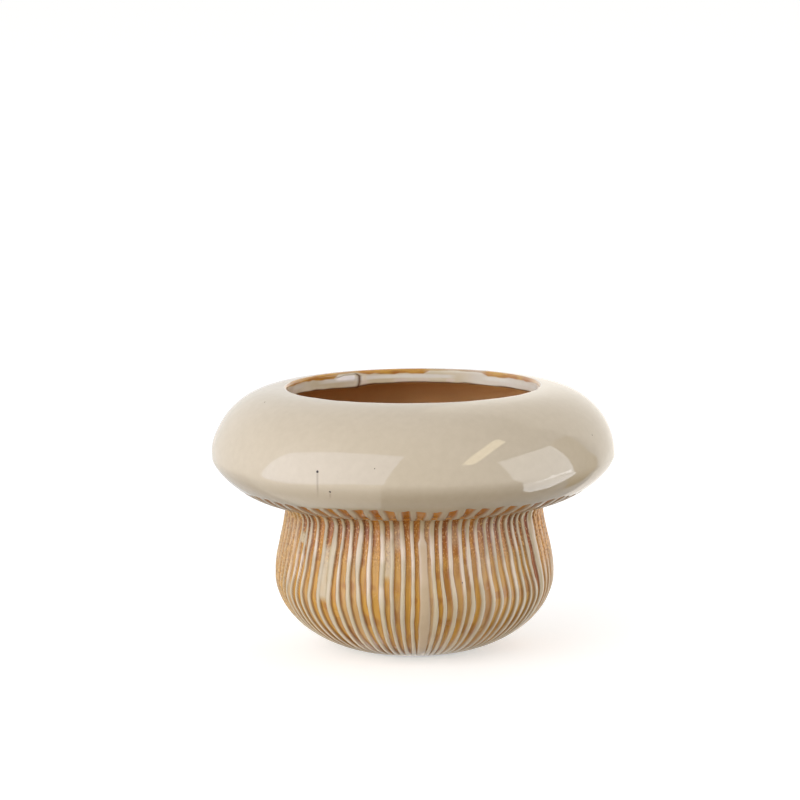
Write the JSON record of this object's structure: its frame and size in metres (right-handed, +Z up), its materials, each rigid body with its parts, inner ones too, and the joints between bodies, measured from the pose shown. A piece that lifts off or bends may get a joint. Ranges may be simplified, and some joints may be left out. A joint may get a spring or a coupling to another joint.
{
  "type": "flower pot",
  "caption": "Mushroom-shaped glazed flower pot: hollow domed cap with a round mouth on a ribbed bowl stem, terracotta inside, on small pads.",
  "frame": {"origin": "centre of the footprint, on the table under the foot pads", "axes": "+Z up along the pot's axis of symmetry, -Y towards the side that the picture shows"},
  "size_m": [0.1996, 0.1996, 0.1313],
  "materials": {
    "ribbed_stem": "glossy cream glaze thinned over the rib crests, bare terracotta inside",
    "cap_clay": "matte unglazed terracotta",
    "cream_glaze": "glossy warm cream glaze that breaks to amber at the lip",
    "amber_glaze": "glossy amber to dark brown glaze pooled in the grooves",
    "foot_pad": "matte soft pad"
  },
  "bodies": {
    "root": {"stem": "ribbed_stem", "cap": "cap_clay", "cream_glaze": "cream_glaze", "rib_glaze": "amber_glaze", "gill_glaze": "amber_glaze", "foot_pad_1": "foot_pad", "foot_pad_2": "foot_pad", "foot_pad_3": "foot_pad", "foot_pad_4": "foot_pad"}
  },
  "joints": []
}
